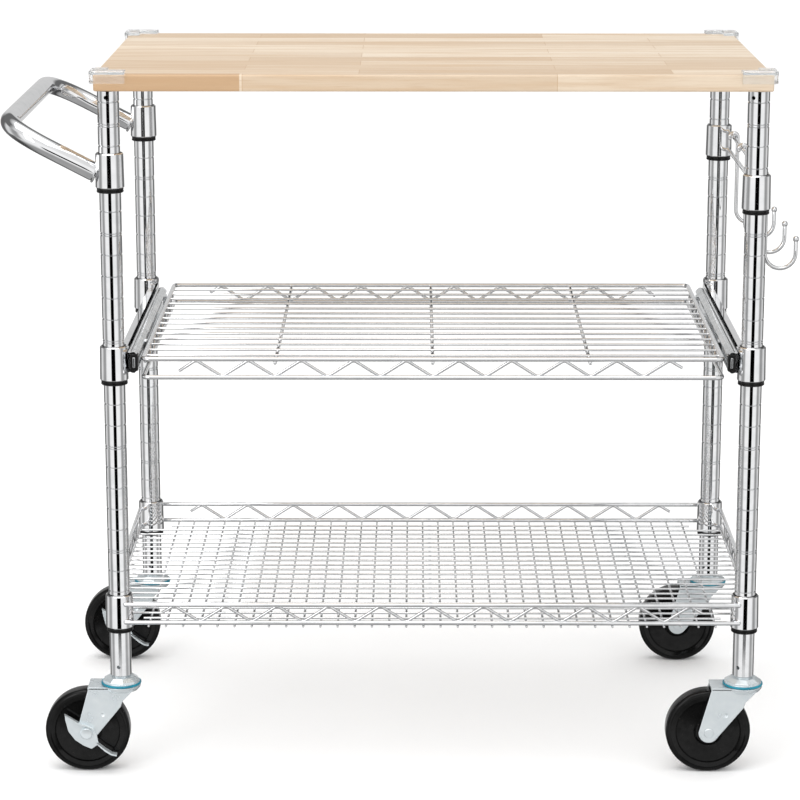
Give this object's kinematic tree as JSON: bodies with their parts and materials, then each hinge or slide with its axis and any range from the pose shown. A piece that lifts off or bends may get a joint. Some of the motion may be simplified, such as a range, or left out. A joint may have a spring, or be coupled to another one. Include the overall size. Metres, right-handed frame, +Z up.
{
  "type": "kitchen island cart",
  "caption": "Rolling kitchen cart with a timber worktop on chromed posts, a pull-out wire shelf, a rimmed lower wire shelf, a push handle, a hook rack and swivel casters with brakes.",
  "frame": {"origin": "middle of the whole object seen from above, on the floor under the wheels", "axes": "+Z up, -X towards the push handle, +X towards the hook rack, -Y the front, where the wire shelf pulls out"},
  "size_m": [0.9352, 0.4758, 0.8459],
  "materials": {
    "timber": "pale joined staves",
    "chrome": "bright chrome plating",
    "zinc": "zinc plating, slightly blue",
    "clear_plastic": "clear moulded plastic",
    "black_plastic": "black moulded plastic",
    "wheel_black": "polished black wheel"
  },
  "bodies": {
    "cart_frame": {"worktop": "timber", "corner_guard_front_left": "clear_plastic", "corner_guard_front_right": "clear_plastic", "corner_guard_rear_left": "clear_plastic", "corner_guard_rear_right": "clear_plastic", "post_front_left": "chrome", "post_front_right": "chrome", "post_rear_left": "chrome", "post_rear_right": "chrome", "sleeve_handle_front_left": "black_plastic", "sleeve_handle_rear_left": "black_plastic", "sleeve_rack_front_right": "black_plastic", "sleeve_rack_rear_right": "black_plastic", "sleeve_tray_front_left": "black_plastic", "sleeve_tray_front_right": "black_plastic", "sleeve_tray_rear_left": "black_plastic", "sleeve_tray_rear_right": "black_plastic", "sleeve_lower_front_left": "black_plastic", "sleeve_lower_front_right": "black_plastic", "sleeve_lower_rear_left": "black_plastic", "sleeve_lower_rear_right": "black_plastic", "push_handle": "chrome", "hook_rack": "chrome", "lower_shelf_truss_front": "chrome", "lower_shelf_truss_rear": "chrome", "lower_shelf_end_left": "chrome", "lower_shelf_end_right": "chrome", "lower_shelf_deck": "chrome", "slide_bracket_left": "chrome", "slide_bracket_right": "chrome", "slide_outer_left": "zinc", "slide_outer_right": "zinc", "caster_top_front_left": "zinc", "caster_top_front_right": "zinc", "caster_top_rear_left": "zinc", "caster_top_rear_right": "zinc"},
    "tray": {"tray_deck": "chrome", "tray_skirt_front": "chrome", "tray_skirt_rear": "chrome", "tray_skirt_left": "chrome", "tray_skirt_right": "chrome", "slide_inner_left": "zinc", "slide_inner_right": "zinc"},
    "slide_middle_left": {"slide_middle_left": "zinc"},
    "slide_middle_right": {"slide_middle_right": "zinc"},
    "hook_1": {"hook_1": "chrome"},
    "hook_2": {"hook_2": "chrome"},
    "hook_3": {"hook_3": "chrome"},
    "hook_4": {"hook_4": "chrome"},
    "swivel_front_left": {"caster_fork_front_left": "zinc"},
    "swivel_front_right": {"caster_fork_front_right": "zinc"},
    "swivel_rear_left": {"caster_fork_rear_left": "zinc"},
    "swivel_rear_right": {"caster_fork_rear_right": "zinc"},
    "wheel_front_left": {"caster_wheel_front_left": "wheel_black"},
    "wheel_front_right": {"caster_wheel_front_right": "wheel_black"},
    "wheel_rear_left": {"caster_wheel_rear_left": "wheel_black"},
    "wheel_rear_right": {"caster_wheel_rear_right": "wheel_black"},
    "pedal_front_left": {"brake_pedal_front_left": "zinc"},
    "pedal_rear_left": {"brake_pedal_rear_left": "zinc"}
  },
  "joints": [
    {"name": "tray_pull", "type": "slide", "parent": "cart_frame", "child": "tray", "axis": [0, -1, 0], "range_m": [0, 0.36]},
    {"name": "slide_middle_left_run", "type": "slide", "parent": "cart_frame", "child": "slide_middle_left", "axis": [0, -1, 0], "range_m": [0, 0.18]},
    {"name": "slide_middle_right_run", "type": "slide", "parent": "cart_frame", "child": "slide_middle_right", "axis": [0, -1, 0], "range_m": [0, 0.18]},
    {"name": "hook_1_slide", "type": "slide", "parent": "cart_frame", "child": "hook_1", "axis": [0, 1, 0], "range_m": [-0.02, 0.045]},
    {"name": "hook_2_slide", "type": "slide", "parent": "cart_frame", "child": "hook_2", "axis": [0, 1, 0], "range_m": [-0.045, 0.045]},
    {"name": "hook_3_slide", "type": "slide", "parent": "cart_frame", "child": "hook_3", "axis": [0, 1, 0], "range_m": [-0.045, 0.045]},
    {"name": "hook_4_slide", "type": "slide", "parent": "cart_frame", "child": "hook_4", "axis": [0, 1, 0], "range_m": [-0.045, 0.04]},
    {"name": "turn_front_left", "type": "hinge", "parent": "cart_frame", "child": "swivel_front_left", "pos_m": [-0.33616, -0.21175, 0.1073], "axis": [0, 0, 1], "continuous": true},
    {"name": "turn_front_right", "type": "hinge", "parent": "cart_frame", "child": "swivel_front_right", "pos_m": [0.41084, -0.21175, 0.1073], "axis": [0, 0, 1], "continuous": true},
    {"name": "turn_rear_left", "type": "hinge", "parent": "cart_frame", "child": "swivel_rear_left", "pos_m": [-0.33616, 0.21525, 0.1073], "axis": [0, 0, 1], "continuous": true},
    {"name": "turn_rear_right", "type": "hinge", "parent": "cart_frame", "child": "swivel_rear_right", "pos_m": [0.41084, 0.21525, 0.1073], "axis": [0, 0, 1], "continuous": true},
    {"name": "roll_front_left", "type": "hinge", "parent": "swivel_front_left", "child": "wheel_front_left", "pos_m": [-0.37716, -0.21175, 0.0508], "axis": [0, 1, 0], "continuous": true},
    {"name": "roll_front_right", "type": "hinge", "parent": "swivel_front_right", "child": "wheel_front_right", "pos_m": [0.36984, -0.21175, 0.0508], "axis": [0, 1, 0], "continuous": true},
    {"name": "roll_rear_left", "type": "hinge", "parent": "swivel_rear_left", "child": "wheel_rear_left", "pos_m": [-0.37716, 0.21525, 0.0508], "axis": [0, 1, 0], "continuous": true},
    {"name": "roll_rear_right", "type": "hinge", "parent": "swivel_rear_right", "child": "wheel_rear_right", "pos_m": [0.36984, 0.21525, 0.0508], "axis": [0, 1, 0], "continuous": true},
    {"name": "brake_front_left", "type": "hinge", "parent": "swivel_front_left", "child": "pedal_front_left", "pos_m": [-0.37716, -0.21175, 0.0508], "axis": [0, 1, 0], "range_deg": [0, 20]},
    {"name": "brake_rear_left", "type": "hinge", "parent": "swivel_rear_left", "child": "pedal_rear_left", "pos_m": [-0.37716, 0.21525, 0.0508], "axis": [0, 1, 0], "range_deg": [0, 20]}
  ],
  "couplings": [
    {"joint": "slide_middle_left_run", "follows": "tray_pull", "ratio": 0.5},
    {"joint": "slide_middle_right_run", "follows": "tray_pull", "ratio": 0.5}
  ]
}
